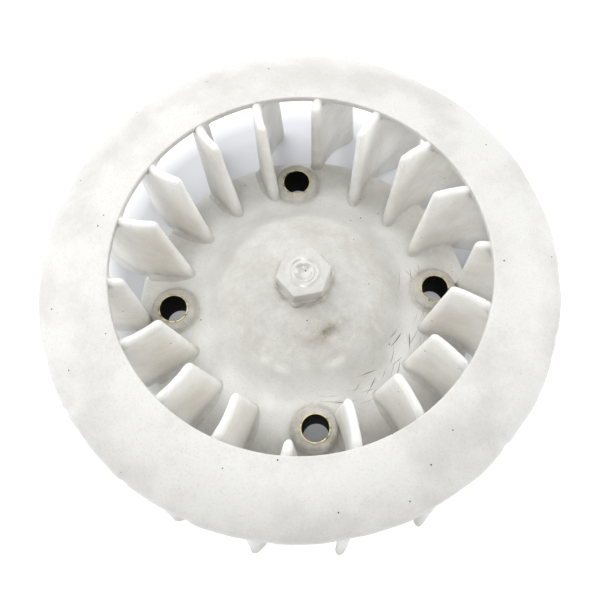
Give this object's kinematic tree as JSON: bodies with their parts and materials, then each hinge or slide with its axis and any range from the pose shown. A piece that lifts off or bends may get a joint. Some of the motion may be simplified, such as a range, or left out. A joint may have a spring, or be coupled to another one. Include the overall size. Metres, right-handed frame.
{
  "type": "flywheel cooling fan",
  "caption": "Moulded centrifugal cooling fan for a small engine's flywheel: domed hub, swept vanes, a wide inlet ring and steel sleeves in its bolt bosses.",
  "frame": {"origin": "on the crankshaft axis, in the plane of the vanes' lower ends, on which the fan stands", "axes": "+Z along the crankshaft axis, from the flywheel towards the inlet ring; +X through the centre of bolt sleeve 1"},
  "size_m": [0.1292, 0.1298, 0.0513],
  "materials": {
    "white_nylon": "satin moulded nylon, off-white, slightly translucent",
    "zinc_plated_steel": "thin steel tube, zinc plated and yellow passivated"
  },
  "bodies": {
    "root": {"hub_disc": "white_nylon", "inlet_ring": "white_nylon", "vane_01": "white_nylon", "vane_02": "white_nylon", "vane_03": "white_nylon", "vane_04": "white_nylon", "vane_05": "white_nylon", "vane_06": "white_nylon", "vane_07": "white_nylon", "vane_08": "white_nylon", "vane_09": "white_nylon", "vane_10": "white_nylon", "vane_11": "white_nylon", "vane_12": "white_nylon", "vane_13": "white_nylon", "vane_14": "white_nylon", "vane_15": "white_nylon", "vane_16": "white_nylon", "vane_17": "white_nylon", "vane_18": "white_nylon", "bolt_sleeve_1": "zinc_plated_steel", "bolt_sleeve_2": "zinc_plated_steel", "bolt_sleeve_3": "zinc_plated_steel", "bolt_sleeve_4": "zinc_plated_steel"}
  },
  "joints": []
}
